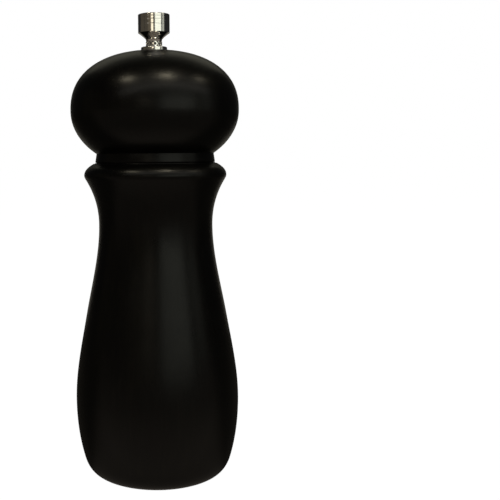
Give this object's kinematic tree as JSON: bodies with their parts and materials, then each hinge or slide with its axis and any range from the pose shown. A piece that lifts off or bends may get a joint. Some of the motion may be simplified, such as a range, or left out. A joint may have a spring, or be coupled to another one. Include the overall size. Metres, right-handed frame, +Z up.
{
  "type": "pepper mill",
  "caption": "Turned black wooden pepper mill with a domed head that drives a cone burr, and a steel knob that sets the grind.",
  "frame": {"origin": "centre of the base, on the plane the mill stands on", "axes": "+Z up along the turning axis, towards the knob; +Y through one leg of the burr bridge"},
  "size_m": [0.0596, 0.0596, 0.1647],
  "materials": {
    "lacquered_wood": "satin black lacquer over turned hardwood",
    "plated_sheet": "zinc-plated sheet steel, satin",
    "burr_steel": "hardened machined steel, dull grey",
    "bush_brass": "turned brass",
    "rivet_steel": "upset steel rivets",
    "screw_plating": "yellow zinc-plated wood screws",
    "washer_steel": "stamped steel washers",
    "shaft_steel": "drawn square steel rod",
    "spring_steel": "bright spring wire",
    "nut_steel": "plated steel nut",
    "knob_steel": "polished turned steel"
  },
  "bodies": {
    "mill_body": {"body_shell": "lacquered_wood", "burr_housing": "plated_sheet", "stator_ring": "burr_steel", "bridge": "plated_sheet", "bridge_bushing": "bush_brass", "bridge_rivets": "rivet_steel", "mounting_screws": "screw_plating"},
    "drive": {"thrust_washer": "washer_steel"},
    "shaft": {"drive_shaft": "shaft_steel", "rotor_burr": "burr_steel", "spring_seat": "washer_steel", "burr_spring": "spring_steel", "rotor_washer": "washer_steel", "rotor_nut": "nut_steel"},
    "head": {"head_shell": "lacquered_wood", "drive_plate": "plated_sheet", "drive_plate_screws": "screw_plating", "head_ferrule": "bush_brass"},
    "knob_seat": {"knob_washer": "knob_steel"},
    "knob": {"adjusting_knob": "knob_steel"}
  },
  "joints": [
    {"name": "head_turn", "type": "hinge", "parent": "mill_body", "child": "drive", "pos_m": [0, 0, 0.1131], "axis": [0, 0, 1], "continuous": true},
    {"name": "grind_adjust", "type": "slide", "parent": "drive", "child": "shaft", "axis": [0, 0, 1], "range_m": [0, 0.0014], "deforming": ["burr_spring"]},
    {"name": "head_lift", "type": "slide", "parent": "drive", "child": "head", "axis": [0, 0, 1], "range_m": [0, 0.07]},
    {"name": "knob_lift", "type": "slide", "parent": "head", "child": "knob_seat", "axis": [0, 0, 1], "range_m": [0, 0.02]},
    {"name": "knob_turn", "type": "hinge", "parent": "knob_seat", "child": "knob", "pos_m": [0, 0, 0.1535], "axis": [0, 0, 1], "range_deg": [-720, 0]}
  ],
  "couplings": [
    {"joint": "knob_turn", "follows": "grind_adjust", "rad_per_m": -8976}
  ]
}
